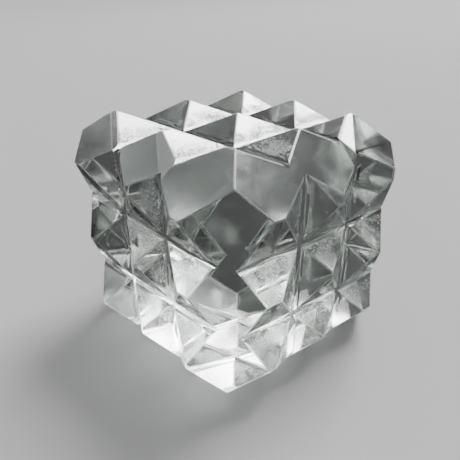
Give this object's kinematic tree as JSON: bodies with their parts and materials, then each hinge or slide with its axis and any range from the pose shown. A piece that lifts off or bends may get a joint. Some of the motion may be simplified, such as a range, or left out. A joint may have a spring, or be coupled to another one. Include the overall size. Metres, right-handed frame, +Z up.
{
  "type": "quartz crystal",
  "caption": "Clear quartz cut as a cube with bevelled edges and V-grooved faces of low pyramids, standing on its flattened tips.",
  "frame": {"origin": "the flat of the middle tip under the crystal, on the plane that it stands on", "axes": "+Z up; -Y out of the front face and +X out of the right face, which meet at the front upright bevel"},
  "size_m": [0.0482, 0.0468, 0.0424],
  "materials": {
    "quartz": "polished clear quartz with fine frosting in the grooves"
  },
  "bodies": {
    "root": {"crystal": "quartz"}
  },
  "joints": []
}
